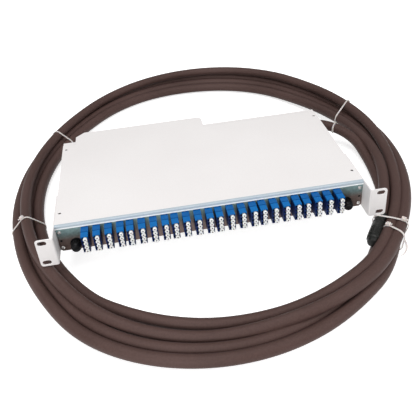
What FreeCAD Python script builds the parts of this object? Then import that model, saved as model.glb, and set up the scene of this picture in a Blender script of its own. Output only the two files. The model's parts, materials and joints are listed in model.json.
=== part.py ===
import FreeCAD, Part
import math
import os
import re
import Sketcher

# Driving dimensions in millimetres: X to the right, Y to the rear, Z up,
# origin in the middle of the four ear slots, on the rear face of the ears
DIMENSIONS = {
    "panel_height": 43.6,
    "ear_flange": 24.3,
    "slot_edge": 8.75,
    "slot_rise": 31.75,
    "slot_length": 12.0,
    "slot_width": 6.8,
    "ear_sheet": 2.0,
    "ear_corner": 4.0,
    "ear_reach": 105.0,
    "ear_screw": 4.0,
    "ear_screw_drop": 8.0,
    "ear_screw_pitch": 25.0,
    "end_margin": 39.75,
    "body_sheet": 1.5,
    "body_front": 29.2,
    "body_rear": 270.0,
    "body_flange": 14.0,
    "cover_sheet": 1.5,
    "cover_front": 25.5,
    "cover_rear": 258.0,
    "cover_screw": 3.0,
    "cover_screw_edge": 6.0,
    "cover_screw_front": 30.5,
    "cover_screw_rear": 15.0,
    "cover_lap": 8.0,
    "tongue_left": 196.5,
    "tongue_right": 22.0,
    "tongue_rear": 298.0,
    "shelf_rear": 300.0,
    "shelf_lip": 8.0,
    "window_inset": 40.0,
    "window_sill": 14.0,
    "window_head": 6.0,
    "lip_height": 4.1,
    "plate_gap": 0.5,
    "plate_face": 26.0,
    "plate_sheet": 1.5,
    "plate_top": 15.2,
    "plate_foot": 21.3,
    "plate_corner": 3.0,
    "rivet_edge": 4.5,
    "rivet_size": 3.0,
    "rivet_drop": 4.9,
    "rivet_rise": 5.6,
    "rivet_head": 1.2,
    "eyelet_drop": 19.5,
    "tray_edge": 33.0,
    "tray_sheet": 1.2,
    "tray_rear": 240.0,
    "tray_gap": 0.5,
    "tray_sill": 7.8,
    "tray_back": 12.0,
    "runner_level": 6.0,
    "rail_sheet": 1.5,
    "rail_front": 33.0,
    "rail_rear": 255.0,
    "rail_depth": 10.5,
    "slide_gap": 0.3,
    "latch_edge": 24.0,
    "latch_drop": 10.3,
    "latch_tab": 15.0,
    "latch_tab_rise": 8.0,
    "latch_reach": 4.3,
    "latch_bore": 9.6,
    "knob_size": 14.5,
    "knob_length": 11.4,
    "adapter_width": 9.8,
    "adapter_height": 26.0,
    "adapter_level": 2.0,
    "adapter_front": 24.5,
    "adapter_tail": 9.0,
    "adapter_gap": 6.2,
    "group_gap": 3.5,
    "port_pitch": 6.25,
    "port_size": 5.7,
    "port_shift": 0.9,
    "port_depth": 10.0,
    "key_depth": 2.2,
    "cap_size": 5.5,
    "cap_reach": 3.5,
    "plug_size": 4.4,
    "plug_length": 18.0,
    "spool_span": 190.0,
    "spool_size": 60.0,
    "spool_height": 14.0,
    "spool_back": 160.0,
    "loom_width": 5.0,
    "gland_inset": 14.0,
    "gland_level": -4.0,
    "gland_hex": 27.0,
    "gland_tab": 17.0,
    "locknut_length": 5.0,
    "gland_collar": 7.0,
    "gland_grip": 10.0,
    "cable_size": 17.0,
    "coil_x": 17.7,
    "coil_y": 224.5,
    "coil_half_width": 296.0,
    "coil_half_length": 392.8,
    "coil_end_radius": 244.9,
    "coil_turn": -5.96,
    "coil_band": 52.0,
    "coil_height": 32.5,
    "coil_gap": 0.3,
    "tie_width": 4.8,
    "tie_sheet": 1.2,
    "lead_radius": 99.0,
    "lead_straight": 52.0,
    "lead_bow": 58.0,
    "lead_tail": 41.0,
    "fitting_offset": -10.5,
    "fitting_drop": 9.3,
    "fitting_sleeve": 18.0,
    "fitting_body": 40.0,
    "fitting_tip": 8.0,
}

GROUPS = 6
ADAPTERS_PER_GROUP = 4
PORTS = 4
TIE_ANGLES = (195.4, 161.7, 18.1, -24.2, -27.6)
FITTING_ANGLE = -28.2
HEXAGON = 6
OCTAGON = 8
ROUND = 12

doc = FreeCAD.newDocument("distribution_frame")
sheet = doc.addObject("Spreadsheet::Sheet", "dim")
for row, (alias, number) in enumerate(DIMENSIONS.items(), 1):
    sheet.set(f"A{row}", alias)
    sheet.set(f"B{row}", str(number))
    sheet.setAlias(f"B{row}", alias)
doc.recompute()

nodes = []


# Helpers that tie every size to the sheet
def expression(text):
    return re.sub(r"[a-z_]+", lambda word: "dim." + word.group(), str(text))


def value(text):
    return float(sheet.evalExpression(expression(text)))


def bind(item, prop, text):
    item.setExpression(prop, expression(text))


def node(item):
    nodes.append(item)
    return item


def new_body(label):
    return node(doc.addObject("PartDesign::Body", label))


def origin_part(body, role):
    return next(part for part in body.Origin.OriginFeatures if part.Role == role)


def place(item, x="0", y="0", z="0"):
    for axis, text in (("x", x), ("y", y), ("z", z)):
        bind(item, f"Placement.Base.{axis}", text)


def fix_point(sketch, geometry, end, x, y):
    for kind, text, axis in (("DistanceX", x, -2), ("DistanceY", y, -1)):
        if str(text) == "0":
            sketch.addConstraint(Sketcher.Constraint("PointOnObject", geometry, end, axis))
        else:
            rule = Sketcher.Constraint(kind, -1, 1, geometry, end, value(text))
            bind(sketch, f"Constraints[{sketch.addConstraint(rule)}]", text)


def rectangle(left, right, low, high):
    return [(left, low), (right, low), (right, high), (left, high)]


def octagon(x, y, size):
    wide = f"({size}) / 2"
    narrow = f"({size}) * 0.207"
    steps = [(narrow, wide), (wide, narrow)]
    points = []
    for x_sign, y_sign in (("+", "+"), ("+", "-"), ("-", "-"), ("-", "+")):
        corner = [(f"{x} {x_sign} {a}", f"{y} {y_sign} {b}") for a, b in steps]
        points += corner if x_sign == y_sign else corner[::-1]
    return points


def draw_outline(sketch, corners):
    first = sketch.GeometryCount
    count = len(corners)
    points = [FreeCAD.Vector(value(x), value(y), 0) for x, y in corners]
    for i in range(count):
        sketch.addGeometry(Part.LineSegment(points[i], points[(i + 1) % count]), False)
    for i in range(count):
        after = first + (i + 1) % count
        sketch.addConstraint(Sketcher.Constraint("Coincident", first + i, 2, after, 1))
    for i, (x, y) in enumerate(corners):
        fix_point(sketch, first + i, 1, x, y)


def draw_circle(sketch, x, y, diameter):
    centre = FreeCAD.Vector(value(x), value(y), 0)
    ring = Part.Circle(centre, FreeCAD.Vector(0, 0, 1), value(diameter) / 2)
    index = sketch.addGeometry(ring, False)
    rule = Sketcher.Constraint("Diameter", index, value(diameter))
    bind(sketch, f"Constraints[{sketch.addConstraint(rule)}]", diameter)
    fix_point(sketch, index, 3, x, y)


def draw_slot(sketch, x, y, length, width):
    reach = f"(({length}) - ({width})) / 2"
    radius = value(width) / 2
    level = value(y)
    ends = [value(f"({x}) {sign} {reach}") for sign in "-+"]
    up = FreeCAD.Vector(0, 0, 1)
    rings = [Part.Circle(FreeCAD.Vector(end, level, 0), up, radius) for end in ends]
    left = sketch.addGeometry(Part.ArcOfCircle(rings[0], math.pi / 2, 1.5 * math.pi), False)
    right = sketch.addGeometry(Part.ArcOfCircle(rings[1], -math.pi / 2, math.pi / 2), False)
    lines = []
    for side in (-radius, radius):
        ends_of_line = [FreeCAD.Vector(end, level + side, 0) for end in ends]
        lines.append(sketch.addGeometry(Part.LineSegment(*ends_of_line), False))
    low, high = lines
    for first, first_end, second, second_end in (
        (left, 2, low, 1),
        (low, 2, right, 1),
        (right, 2, high, 2),
        (high, 1, left, 1),
    ):
        rule = Sketcher.Constraint("Tangent", first, first_end, second, second_end)
        sketch.addConstraint(rule)
    rule = Sketcher.Constraint("Radius", left, radius)
    bind(sketch, f"Constraints[{sketch.addConstraint(rule)}]", f"({width}) / 2")
    fix_point(sketch, left, 3, f"({x}) - {reach}", y)
    rule = Sketcher.Constraint("DistanceX", -1, 1, right, 3, ends[1])
    bind(sketch, f"Constraints[{sketch.addConstraint(rule)}]", f"({x}) + {reach}")


DRAW = {"outline": draw_outline, "circle": draw_circle, "slot": draw_slot}


def new_sketch(body, plane, offset, figures):
    sketch = body.newObject("Sketcher::SketchObject", body.Label + "_sketch")
    sketch.AttachmentSupport = (origin_part(body, plane + "_Plane"), [""])
    sketch.MapMode = "FlatFace"
    sign = "-" if plane == "XZ" else ""
    bind(sketch, "AttachmentOffset.Base.z", f"{sign}({offset})")
    for kind, *sizes in figures:
        DRAW[kind](sketch, *sizes)
    return sketch


# Material added or cut from start along the positive axis across the plane
def pad(body, plane, start, length, *figures):
    feature = body.newObject("PartDesign::Pad", body.Label + "_pad")
    feature.Profile = new_sketch(body, plane, start, figures)
    bind(feature, "Length", length)
    feature.Reversed = plane == "XZ"
    body.Tip = feature
    return feature


def pocket(body, plane, start, length, *figures):
    feature = body.newObject("PartDesign::Pocket", body.Label + "_pocket")
    feature.Profile = new_sketch(body, plane, start, figures)
    bind(feature, "Length", length)
    feature.Reversed = plane != "XZ"
    body.Tip = feature
    return feature


def repeat(body, feature, axis, spacing, count):
    pattern = body.newObject("PartDesign::LinearPattern", body.Label + "_pattern")
    pattern.Originals = [feature]
    pattern.Direction = (origin_part(body, axis + "_Axis"), [""])
    bind(pattern, "Length", f"({spacing}) * {count - 1}")
    pattern.Occurrences = count
    body.Tip = pattern
    return pattern


def block(name, x, y, z, length, width, height):
    item = doc.addObject("Part::Box", name)
    for prop, text in (("Length", length), ("Width", width), ("Height", height)):
        bind(item, prop, text)
    place(item, x, y, z)
    return item


def rod(name, axis, x, y, z, diameter, length, sides=0):
    kind = "Part::Prism" if sides else "Part::Cylinder"
    item = doc.addObject(kind, name)
    bind(item, "Circumradius" if sides else "Radius", f"({diameter}) / 2")
    bind(item, "Height", length)
    if sides:
        item.Polygon = sides
    turns = {"X": ((0, 1, 0), 90), "Y": ((1, 0, 0), -90), "Z": ((0, 0, 1), 0)}
    direction, angle = turns[axis]
    item.Placement.Rotation = FreeCAD.Rotation(FreeCAD.Vector(*direction), angle)
    place(item, x, y, z)
    return item


def join(name, *items):
    whole = doc.addObject("Part::MultiFuse", name)
    whole.Shapes = list(items)
    return whole


def cut(name, base, tool):
    rest = doc.addObject("Part::Cut", name)
    rest.Base = base
    rest.Tool = tool
    return rest


def group(label, items):
    whole = node(doc.addObject("Part::Compound", label))
    whole.Links = items
    return whole


ADAPTER_PITCH = "(adapter_width + adapter_gap)"
GROUP_PITCH = f"(adapter_width * {ADAPTERS_PER_GROUP} + adapter_gap * {ADAPTERS_PER_GROUP - 1} + group_gap)"
HALF = (
    f"({GROUP_PITCH} * {(GROUPS - 1) / 2} + {ADAPTER_PITCH} * {(ADAPTERS_PER_GROUP - 1) / 2} + end_margin)"
)
FLOOR = "-panel_height / 2"
TOP = "panel_height / 2 - cover_sheet"
INNER = f"({HALF} - body_sheet)"
SIDES = (("left", "-"), ("right", ""))
LATCH_X = f"({HALF} - latch_edge)"
RIVET_X = f"({HALF} - rivet_edge)"
COVER_SCREW_X = f"({HALF} - cover_screw_edge)"
EAR_EDGE = f"({HALF} + ear_flange)"
COVER_SCREW_ROWS = ("cover_front + cover_screw_front", "cover_rear - cover_screw_rear")
EAR_SCREW_ROWS = [f"ear_reach - ear_screw_pitch * {place}" for place in (2.6, 1.6, 0.6)]
EAR_SCREW_LEVEL = "-ear_screw_drop"
RIVET_LEVELS = ("plate_top - rivet_drop", "rivet_rise - plate_foot")
EYELET_LEVEL = "plate_top - eyelet_drop"
GLAND_Y = "(shelf_rear - gland_inset)"
GLAND_FACE = "(tongue_right + 2)"


# Housing: folded sheet with a rear wall, a cable shelf and two latch tabs
def build_housing():
    body = new_body("housing")
    channel = [
        (f"-({HALF})", FLOOR),
        (HALF, FLOOR),
        (HALF, TOP),
        (f"{HALF} - body_flange", TOP),
        (f"{HALF} - body_flange", f"{TOP} - body_sheet"),
        (INNER, f"{TOP} - body_sheet"),
        (INNER, f"{FLOOR} + body_sheet"),
        (f"-{INNER}", f"{FLOOR} + body_sheet"),
        (f"-{INNER}", f"{TOP} - body_sheet"),
        (f"body_flange - {HALF}", f"{TOP} - body_sheet"),
        (f"body_flange - {HALF}", TOP),
        (f"-({HALF})", TOP),
    ]
    pad(body, "XZ", "body_front", "body_rear - body_front", ("outline", channel))
    wall = rectangle(f"-({HALF})", HALF, FLOOR, TOP)
    pad(body, "XZ", "body_rear - body_sheet", "body_sheet", ("outline", wall))
    flange = rectangle(f"-({HALF})", HALF, "cover_rear - cover_lap", "body_rear")
    pad(body, "XY", f"{TOP} - body_sheet", "body_sheet", ("outline", flange))
    shelf = rectangle("-tongue_left", GLAND_FACE, "body_rear - body_sheet", "shelf_rear")
    pad(body, "XY", FLOOR, "body_sheet", ("outline", shelf))
    lip = rectangle("shelf_rear - body_sheet", "shelf_rear", FLOOR, f"{FLOOR} + shelf_lip")
    pad(body, "YZ", "-tongue_left", f"tongue_left + {GLAND_FACE}", ("outline", lip))
    tab = rectangle("body_rear - body_sheet", "shelf_rear", FLOOR, "gland_level + gland_tab")
    pad(body, "YZ", f"{GLAND_FACE} - body_sheet", "body_sheet", ("outline", tab))
    bore = ("circle", GLAND_Y, "gland_level", "cable_size + 5.6")
    pocket(body, "YZ", f"{GLAND_FACE} - 5", "10", bore)
    for _, sign in SIDES:
        low = f"{sign}{LATCH_X} - latch_tab / 2"
        high = f"{sign}{LATCH_X} + latch_tab / 2"
        upright = rectangle(low, high, FLOOR, "latch_tab_rise - latch_drop")
        pad(body, "XZ", "body_front + 1", "body_sheet", ("outline", upright))
    pocket(body, "XZ", "body_front", "5", *latch_holes())
    window = rectangle("window_inset - tongue_left", "-window_inset", "-window_sill", "window_head")
    pocket(body, "XZ", "body_rear - 5", "10", ("outline", window))


# Cover: flat sheet whose rear tongue roofs the cable shelf
def build_cover():
    body = new_body("top_cover")
    plan = [
        (f"-({HALF})", "cover_front"),
        (HALF, "cover_front"),
        (HALF, "cover_rear"),
        ("tongue_right", "cover_rear"),
        ("tongue_right", "tongue_rear - 6"),
        ("tongue_right - 6", "tongue_rear"),
        ("14 - tongue_left", "tongue_rear"),
        ("-tongue_left", "tongue_rear - 14"),
        ("-tongue_left", "cover_rear"),
        (f"-({HALF})", "cover_rear"),
    ]
    pad(body, "XY", TOP, "cover_sheet", ("outline", plan))
    holes = []
    for _, sign in SIDES:
        for row in COVER_SCREW_ROWS:
            holes.append(("outline", octagon(f"{sign}{COVER_SCREW_X}", row, "cover_screw + 1.4")))
    pocket(body, "XY", f"{TOP} - 1", "cover_sheet + 2", *holes)
    screws = []
    for side, sign in SIDES:
        for number, row in enumerate(COVER_SCREW_ROWS):
            name = f"cover_screw_{side}_{number}"
            x = f"{sign}{COVER_SCREW_X}"
            screws.append(rod(name, "Z", x, row, TOP, "cover_screw + 0.8", "cover_sheet - 0.5", HEXAGON))
    group("cover_screws", screws)


# Front rail: bright folded strip that hangs under the front of the cover
def build_front_rail():
    body = new_body("front_rail")
    section = [
        ("cover_front", f"{TOP} - lip_height"),
        ("body_front - 0.4", f"{TOP} - lip_height"),
        ("body_front - 0.4", f"{TOP} - lip_height + 1.2"),
        ("cover_front + 1.2", f"{TOP} - lip_height + 1.2"),
        ("cover_front + 1.2", TOP),
        ("cover_front", TOP),
    ]
    pad(body, "YZ", f"-({HALF})", f"{HALF} * 2", ("outline", section))


# Rack ears: folded brackets with oblong slots, screwed to the housing sides
def build_ears():
    screws = []
    for side, sign in SIDES:
        body = new_body(f"ear_{side}")
        bend = "ear_sheet * 0.75"
        angle = [
            (f"{sign}({HALF} + {bend})", "-ear_sheet"),
            (f"{sign}{EAR_EDGE}", "-ear_sheet"),
            (f"{sign}{EAR_EDGE}", "0"),
            (f"{sign}({HALF} + ear_sheet)", "0"),
            (f"{sign}({HALF} + ear_sheet)", "ear_reach"),
            (f"{sign}({HALF})", "ear_reach"),
            (f"{sign}({HALF})", f"{bend} - ear_sheet"),
        ]
        pad(body, "XY", FLOOR, "panel_height", ("outline", angle))
        slots = []
        for rise in ("-", ""):
            middle = f"{sign}({EAR_EDGE} - slot_edge)"
            slots.append(("slot", middle, f"{rise}slot_rise / 2", "slot_length", "slot_width"))
        pocket(body, "XZ", "-ear_sheet - 2", "ear_sheet + 4", *slots)
        doc.recompute()
        round_ear_corners(body)
        for number, row in enumerate(EAR_SCREW_ROWS):
            name = f"ear_screw_{side}_{number}"
            outer = f"{HALF} + ear_sheet" if side == "right" else f"-({HALF}) - ear_sheet - 2.2"
            screws.append(rod(name, "X", outer, row, EAR_SCREW_LEVEL, "ear_screw * 2", "2.2", HEXAGON))
    group("ear_screws", screws)


# Outer corners of an ear are found by where they lie
def round_ear_corners(body):
    reach = value(EAR_EDGE)
    rise = value("panel_height / 2")
    names = []
    for index, edge in enumerate(body.Tip.Shape.Edges, 1):
        centre = edge.CenterOfMass
        at_end = abs(abs(centre.x) - reach) < 0.01
        if at_end and abs(abs(centre.z) - rise) < 0.01:
            names.append(f"Edge{index}")
    base = body.Tip
    fillet = body.newObject("PartDesign::Fillet", body.Label + "_fillet")
    fillet.Base = (base, names)
    bind(fillet, "Radius", "ear_corner")
    body.Tip = fillet


# Slide rails: channels on the housing sides that guide the tray flanges
def build_slide_rails():
    for side, sign in SIDES:
        body = new_body(f"slide_rail_{side}")
        low = "runner_level - slide_gap"
        high = "runner_level + tray_sheet + slide_gap"
        web = f"{sign}({INNER} - rail_sheet)"
        mouth = f"{sign}({INNER} - rail_depth)"
        back = f"{sign}{INNER}"
        section = [
            (back, f"{low} - rail_sheet"),
            (back, f"{high} + rail_sheet"),
            (mouth, f"{high} + rail_sheet"),
            (mouth, high),
            (web, high),
            (web, low),
            (mouth, low),
            (mouth, f"{low} - rail_sheet"),
        ]
        pad(body, "XZ", "rail_front", "rail_rear - rail_front", ("outline", section))


TRAY_FLOOR = f"{FLOOR} + body_sheet + tray_gap"
TRAY_DECK = f"{TRAY_FLOOR} + tray_sheet"
PLATE_BACK = "plate_face + plate_sheet"


# Tray: hat section whose side flanges run in the slide rails
def build_tray():
    body = new_body("drawer_tray")
    wall = f"({HALF} - tray_edge)"
    runner = f"({INNER} - rail_sheet - 0.4)"
    deck = "runner_level + tray_sheet"
    hat = [
        (f"-({wall})", TRAY_FLOOR),
        (wall, TRAY_FLOOR),
        (wall, "runner_level"),
        (runner, "runner_level"),
        (runner, deck),
        (f"{wall} - tray_sheet", deck),
        (f"{wall} - tray_sheet", TRAY_DECK),
        (f"tray_sheet - {wall}", TRAY_DECK),
        (f"tray_sheet - {wall}", deck),
        (f"-{runner}", deck),
        (f"-{runner}", "runner_level"),
        (f"-({wall})", "runner_level"),
    ]
    pad(body, "XZ", PLATE_BACK, f"tray_rear - {PLATE_BACK}", ("outline", hat))
    edge = f"({INNER} - 0.5)"
    frame = [
        (f"-{edge}", TRAY_FLOOR),
        (edge, TRAY_FLOOR),
        (edge, "plate_top - 0.4"),
        (wall, "plate_top - 0.4"),
        (wall, f"{TRAY_FLOOR} + tray_sill"),
        (f"-({wall})", f"{TRAY_FLOOR} + tray_sill"),
        (f"-({wall})", "plate_top - 0.4"),
        (f"-{edge}", "plate_top - 0.4"),
    ]
    pad(body, "XZ", PLATE_BACK, "tray_sheet", ("outline", frame))
    rear = rectangle(f"-({wall})", wall, TRAY_FLOOR, f"{TRAY_FLOOR} + tray_back")
    pad(body, "XZ", "tray_rear - tray_sheet", "tray_sheet", ("outline", rear))
    pocket(body, "XZ", f"{PLATE_BACK} - 1", "tray_sheet + 2", *latch_holes())


def latch_holes():
    holes = []
    for _, sign in SIDES:
        middle = f"{sign}{LATCH_X}"
        window = rectangle(
            f"{middle} - latch_bore / 2",
            f"{middle} + latch_bore / 2",
            "-latch_drop - latch_bore / 2",
            "latch_bore / 2 - latch_drop",
        )
        holes.append(("outline", window))
    return holes


# Front plate: one cut-out pattern for each group of adapters
def build_front_plate():
    body = new_body("front_plate")
    edge = f"({HALF} - plate_gap)"
    corner = f"{edge} - plate_corner"
    face = [
        (f"-({corner})", "-plate_foot"),
        (corner, "-plate_foot"),
        (edge, "plate_corner - plate_foot"),
        (edge, "plate_top"),
        (f"-({edge})", "plate_top"),
        (f"-({edge})", "plate_corner - plate_foot"),
    ]
    pad(body, "XZ", "plate_face", "plate_sheet", ("outline", face))
    for number in range(GROUPS):
        middle = adapter_x(number, 0)
        half_width = "(adapter_width / 2 - 0.5)"
        half_height = "(adapter_height / 2 - 1.6)"
        opening = rectangle(
            f"{middle} - {half_width}",
            f"{middle} + {half_width}",
            f"adapter_level - {half_height}",
            f"adapter_level + {half_height}",
        )
        cut = pocket(body, "XZ", "plate_face - 1", "plate_sheet + 2", ("outline", opening))
        repeat(body, cut, "X", ADAPTER_PITCH, ADAPTERS_PER_GROUP)
    eyelets = []
    for _, sign in SIDES:
        eyelets.append(("outline", octagon(f"{sign}{RIVET_X}", EYELET_LEVEL, "rivet_size + 0.4")))
    pocket(body, "XZ", "plate_face - 1", "plate_sheet + 2", *latch_holes(), *eyelets)
    rivets = []
    for side, sign in SIDES:
        for number, level in enumerate(RIVET_LEVELS):
            x = f"{sign}{RIVET_X}"
            name = f"rivet_{side}_{number}"
            face = "plate_face - rivet_head"
            rivets.append(rod(name, "Y", x, face, level, "rivet_size * 1.8", "rivet_head", OCTAGON))
    group("front_rivets", rivets)


def adapter_x(number, place_in_group):
    return (
        f"({GROUP_PITCH} * {number - (GROUPS - 1) / 2}"
        f" + {ADAPTER_PITCH} * {place_in_group - (ADAPTERS_PER_GROUP - 1) / 2})"
    )


# Adapters: a stepped block with a column of keyed ports
def build_adapters():
    count = 0
    for number in range(GROUPS):
        for seat in range(ADAPTERS_PER_GROUP):
            count += 1
            body = new_body(f"adapter_{count:02d}")
            build_adapter(body)
            place(body, adapter_x(number, seat))


def build_adapter(body):
    wide = "adapter_width / 2"
    tall = "adapter_height / 2"
    face = "plate_face - adapter_front"
    step = "adapter_front * 0.46"
    steps = (
        (face, step, "0"),
        (f"{face} + {step}", f"adapter_front - {step}", "0.2"),
        ("plate_face", "adapter_tail", "0.7"),
    )
    for start, length, inset in steps:
        drop = f"({inset} * 2.6)"
        block_face = rectangle(
            f"{inset} - {wide}",
            f"{wide} - {inset}",
            f"adapter_level - {tall} + {drop}",
            f"adapter_level + {tall} - {drop}",
        )
        pad(body, "XZ", start, length, ("outline", block_face))
    lowest = f"(adapter_level - 0.1 - port_pitch * {(PORTS - 1) / 2})"
    port = rectangle(
        "port_shift - port_size / 2 - key_depth",
        "port_shift + port_size / 2",
        f"{lowest} - port_size / 2",
        f"{lowest} + port_size / 2",
    )
    cut = pocket(body, "XZ", face, "port_depth", ("outline", port))
    repeat(body, cut, "Z", "port_pitch", PORTS)


# A dust cap in every port, and a plug behind every pair of ports
def build_port_pieces():
    caps = []
    plugs = []
    face = "plate_face - adapter_front - cap_reach"
    for number in range(GROUPS):
        for seat in range(ADAPTERS_PER_GROUP):
            x = f"{adapter_x(number, seat)} + port_shift"
            for port in range(PORTS):
                z = f"adapter_level - 0.1 + port_pitch * {port - (PORTS - 1) / 2}"
                name = f"cap_{number}_{seat}_{port}"
                caps.append(rod(name, "Y", x, face, z, "cap_size", "cap_reach + 6", OCTAGON))
            for pair in (-1, 1):
                z = f"adapter_level - 0.1 + port_pitch * {pair} - (port_pitch + plug_size) / 2"
                name = f"plug_{number}_{seat}_{pair + 1}"
                start = f"{x} - plug_size / 2"
                tail = "plate_face + adapter_tail"
                tall = "port_pitch + plug_size"
                plugs.append(block(name, start, tail, z, "plug_size", "plug_length", tall))
    group("dust_caps", caps)
    group("pigtail_connectors", plugs)


# Latches: a snap grommet in the plate and a pull knob that slides in it
def build_latches():
    level = "-latch_drop"
    for side, sign in SIDES:
        x = f"{sign}{LATCH_X}"
        barrel = "(latch_bore - 0.6)"
        stem = "(latch_bore - 4.4)"
        flange = rod(f"flange_{side}", "Y", x, "plate_face - 1.8", level, "knob_size + 2.5", "1.8", ROUND)
        legs = square_bar(f"legs_{side}", x, "plate_face - 0.9", level, barrel, "body_front + latch_reach")
        bore = square_bar(f"bore_{side}", x, "plate_face - 5", level, f"{stem} + 0.6", "body_front + 9")
        node(cut(f"latch_grommet_{side}", join(f"snap_{side}", flange, legs), bore))
        face = "plate_face - 2.1 - knob_length"
        nose = rod(f"nose_{side}", "Y", x, f"{face} - 1.2", level, "knob_size - 2.4", "2.4", ROUND)
        grip = rod(f"grip_{side}", "Y", x, face, level, "knob_size", "knob_length", ROUND)
        end = "body_front + latch_reach + 0.5"
        shaft = square_bar(f"shaft_{side}", x, "plate_face - 5", level, stem, end)
        node(join(f"latch_plunger_{side}", nose, grip, shaft))


# Bar of square section along Y from start to end
def square_bar(name, x, start, z, size, end):
    corner = f"({size}) / 2"
    length = f"({end}) - ({start})"
    return block(name, f"{x} - {corner}", start, f"{z} - {corner}", size, length, size)


# Fibre management in the tray: two spools, the loom round them, a fan-out block
def build_fibre_tray():
    for side, sign in SIDES:
        x = f"{sign}spool_span / 2"
        drum = rod(f"drum_{side}", "Z", x, "spool_back", TRAY_DECK, "spool_size", "spool_height", ROUND)
        below = f"{TRAY_DECK} - 1"
        tall = "spool_height + 2"
        hollow = rod(f"hollow_{side}", "Z", x, "spool_back", below, "spool_size - 6", tall, ROUND)
        node(cut(f"fibre_spool_{side}", drum, hollow))
    loom = new_body("fibre_loom")
    inside = loop_outline("spool_size / 2 + 0.5")
    outside = loop_outline("spool_size / 2 + 0.5 + loom_width")
    pad(loom, "XY", TRAY_DECK, "spool_height * 0.5", ("outline", outside), ("outline", inside))
    fan_out = new_body("fan_out_block")
    plan = [
        ("-36", "tray_rear - 30"),
        ("-30", "tray_rear - 36"),
        ("30", "tray_rear - 36"),
        ("36", "tray_rear - 30"),
        ("36", "tray_rear - 10"),
        ("-36", "tray_rear - 10"),
    ]
    pad(fan_out, "XY", TRAY_DECK, "12", ("outline", plan))


# Long loop with cut corners, a distance out from the two spool centres
def loop_outline(reach):
    corner = f"({reach}) * 0.414"
    end = f"spool_span / 2 + {reach}"
    turn = f"spool_span / 2 + {corner}"
    points = []
    for x_sign, y_sign in (("", ""), ("-", ""), ("-", "-"), ("", "-")):
        near = (f"{x_sign}({end})", f"spool_back + {y_sign}({corner})")
        far = (f"{x_sign}({turn})", f"spool_back + {y_sign}({reach})")
        points += [near, far] if x_sign == y_sign else [far, near]
    return points


# Cable gland on the tab of the shelf, facing the right
def build_gland():
    point = "gland_hex * 1.1547"
    thread = "(cable_size + 5)"
    passage = "(cable_size + 0.6) * 1.0353"
    inside = f"{GLAND_FACE} - body_sheet"
    place_at = (GLAND_Y, "gland_level")
    back = f"{inside} - locknut_length"
    hexagon = rod("locknut_hex", "X", back, *place_at, point, "locknut_length", HEXAGON)
    clear = f"{thread} + 0.8"
    opening = rod("locknut_bore", "X", f"{back} - 1", *place_at, clear, "locknut_length + 2", ROUND)
    node(cut("gland_locknut", hexagon, opening))
    collar = rod("gland_collar", "X", GLAND_FACE, *place_at, point, "gland_collar", HEXAGON)
    stem = rod("gland_stem", "X", f"{back} - 1", *place_at, thread, "body_sheet + locknut_length + 3", ROUND)
    bore = rod("gland_bore", "X", f"{back} - 3", *place_at, passage, "24", ROUND)
    node(cut("gland_body", join("gland_blank", collar, stem), bore))
    face = f"{GLAND_FACE} + gland_collar"
    grip = rod("nut_hex", "X", face, *place_at, point, "gland_grip", HEXAGON)
    dome = rod("nut_dome", "X", f"{face} + gland_grip - 2", *place_at, "gland_hex - 2", "9", ROUND)
    nut_bore = rod("nut_bore", "X", f"{face} - 2", *place_at, passage, "24", ROUND)
    node(cut("gland_nut", join("nut_blank", grip, dome), nut_bore))


# Coil: an oval of four tangent arcs, met by the angle of its outward normal
def oval_arc(angle):
    half_width = value("coil_half_width")
    half_length = value("coil_half_length")
    end_radius = value("coil_end_radius")
    rise = half_length - end_radius
    side_radius = (half_width**2 + rise**2 - end_radius**2) / (2 * (half_width - end_radius))
    join_angle = math.degrees(math.atan2(rise, side_radius - half_width))
    angle = (angle + 180) % 360 - 180
    if abs(angle) <= join_angle:
        return half_width - side_radius, 0.0, side_radius, join_angle
    if abs(angle) >= 180 - join_angle:
        return side_radius - half_width, 0.0, side_radius, join_angle
    return 0.0, math.copysign(rise, angle), end_radius, join_angle


def oval_point(angle, offset, z):
    x, y, radius, _ = oval_arc(angle)
    x += (radius + offset) * math.cos(math.radians(angle))
    y += (radius + offset) * math.sin(math.radians(angle))
    turn = math.radians(value("coil_turn"))
    return FreeCAD.Vector(
        value("coil_x") + x * math.cos(turn) - y * math.sin(turn),
        value("coil_y") + x * math.sin(turn) + y * math.cos(turn),
        z,
    )


def oval_wire(offset, z):
    join_angle = oval_arc(0)[3]
    stops = (-join_angle, join_angle, 180 - join_angle, 180 + join_angle, 360 - join_angle)
    arcs = []
    for start, end in zip(stops, stops[1:]):
        angles = (start + 1e-6, (start + end) / 2, end - 1e-6)
        arcs.append([oval_point(angle, offset, z) for angle in angles])
    for before, after in zip(arcs, arcs[1:] + arcs[:1]):
        before[2] = after[0]
    return Part.Wire([Part.Arc(*points).toShape() for points in arcs])


# Placement on the oval: X along the normal, Y along the tangent
def oval_place(angle, offset, z, turn=0.0):
    heading = angle + value("coil_turn") + turn
    up = FreeCAD.Vector(0, 0, 1)
    return FreeCAD.Placement(oval_point(angle, offset, z), FreeCAD.Rotation(up, heading))


def solid_node(label, shape):
    item = node(doc.addObject("Part::Feature", label))
    item.Shape = shape
    return item


FITTING_SIZE = "(cable_size * 1.105)"
FITTING_LENGTH = "(fitting_sleeve + fitting_body + fitting_tip)"


def coil_top():
    return value(f"{FLOOR} - coil_gap")


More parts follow.
